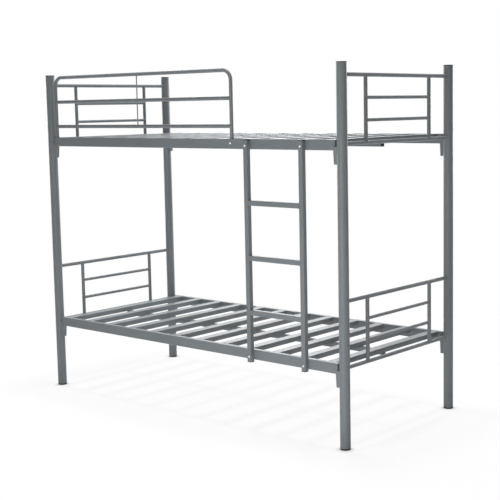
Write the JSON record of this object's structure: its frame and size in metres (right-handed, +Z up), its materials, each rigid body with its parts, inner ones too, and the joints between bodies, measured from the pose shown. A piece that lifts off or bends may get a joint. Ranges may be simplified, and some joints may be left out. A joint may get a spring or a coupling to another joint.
{
  "type": "bunk bed",
  "caption": "Steel bunk bed with round posts, slatted decks on wedge-locked side rails, barred end panels, a bent-tube guard rail and a bolted upright ladder.",
  "frame": {"origin": "on the floor, in the middle of the whole footprint", "axes": "+X along the bed towards the ladder end, +Y across the bed away from the ladder, +Z up"},
  "size_m": [2.13, 0.9617, 1.79],
  "materials": {
    "grey_paint": "satin powder coat",
    "black_plastic": "moulded",
    "zinc_steel": "bright zinc plate"
  },
  "bodies": {
    "root": {"bolts": "zinc_steel", "guard_bars": "grey_paint", "guard_hoop": "grey_paint", "guard_rod": "grey_paint", "ladder_left_leg": "grey_paint", "ladder_right_leg": "grey_paint", "ladder_rungs": "grey_paint", "lower_centre_beam": "grey_paint", "lower_front_rail": "grey_paint", "lower_left_panel_bars": "grey_paint", "lower_left_panel_spindles": "grey_paint", "lower_left_panel_tubes": "grey_paint", "lower_rear_rail": "grey_paint", "lower_right_panel_bars": "grey_paint", "lower_right_panel_spindles": "grey_paint", "lower_right_panel_tubes": "grey_paint", "lower_slat_01": "grey_paint", "lower_slat_02": "grey_paint", "lower_slat_03": "grey_paint", "lower_slat_04": "grey_paint", "lower_slat_05": "grey_paint", "lower_slat_06": "grey_paint", "lower_slat_07": "grey_paint", "lower_slat_08": "grey_paint", "lower_slat_09": "grey_paint", "lower_slat_10": "grey_paint", "lower_slat_11": "grey_paint", "lower_slat_12": "grey_paint", "nuts": "zinc_steel", "post_caps": "black_plastic", "post_feet": "black_plastic", "post_front_left": "grey_paint", "post_front_right": "grey_paint", "post_rear_left": "grey_paint", "post_rear_right": "grey_paint", "post_sockets": "grey_paint", "rail_hooks": "grey_paint", "tube_end_plugs": "black_plastic", "upper_centre_beam": "grey_paint", "upper_front_rail": "grey_paint", "upper_left_panel_bars": "grey_paint", "upper_left_panel_spindles": "grey_paint", "upper_left_panel_tubes": "grey_paint", "upper_rear_rail": "grey_paint", "upper_right_panel_bars": "grey_paint", "upper_right_panel_spindles": "grey_paint", "upper_right_panel_tubes": "grey_paint", "upper_slat_01": "grey_paint", "upper_slat_02": "grey_paint", "upper_slat_03": "grey_paint", "upper_slat_04": "grey_paint", "upper_slat_05": "grey_paint", "upper_slat_06": "grey_paint", "upper_slat_07": "grey_paint", "upper_slat_08": "grey_paint", "upper_slat_09": "grey_paint", "upper_slat_10": "grey_paint", "upper_slat_11": "grey_paint", "upper_slat_12": "grey_paint"}
  },
  "joints": []
}
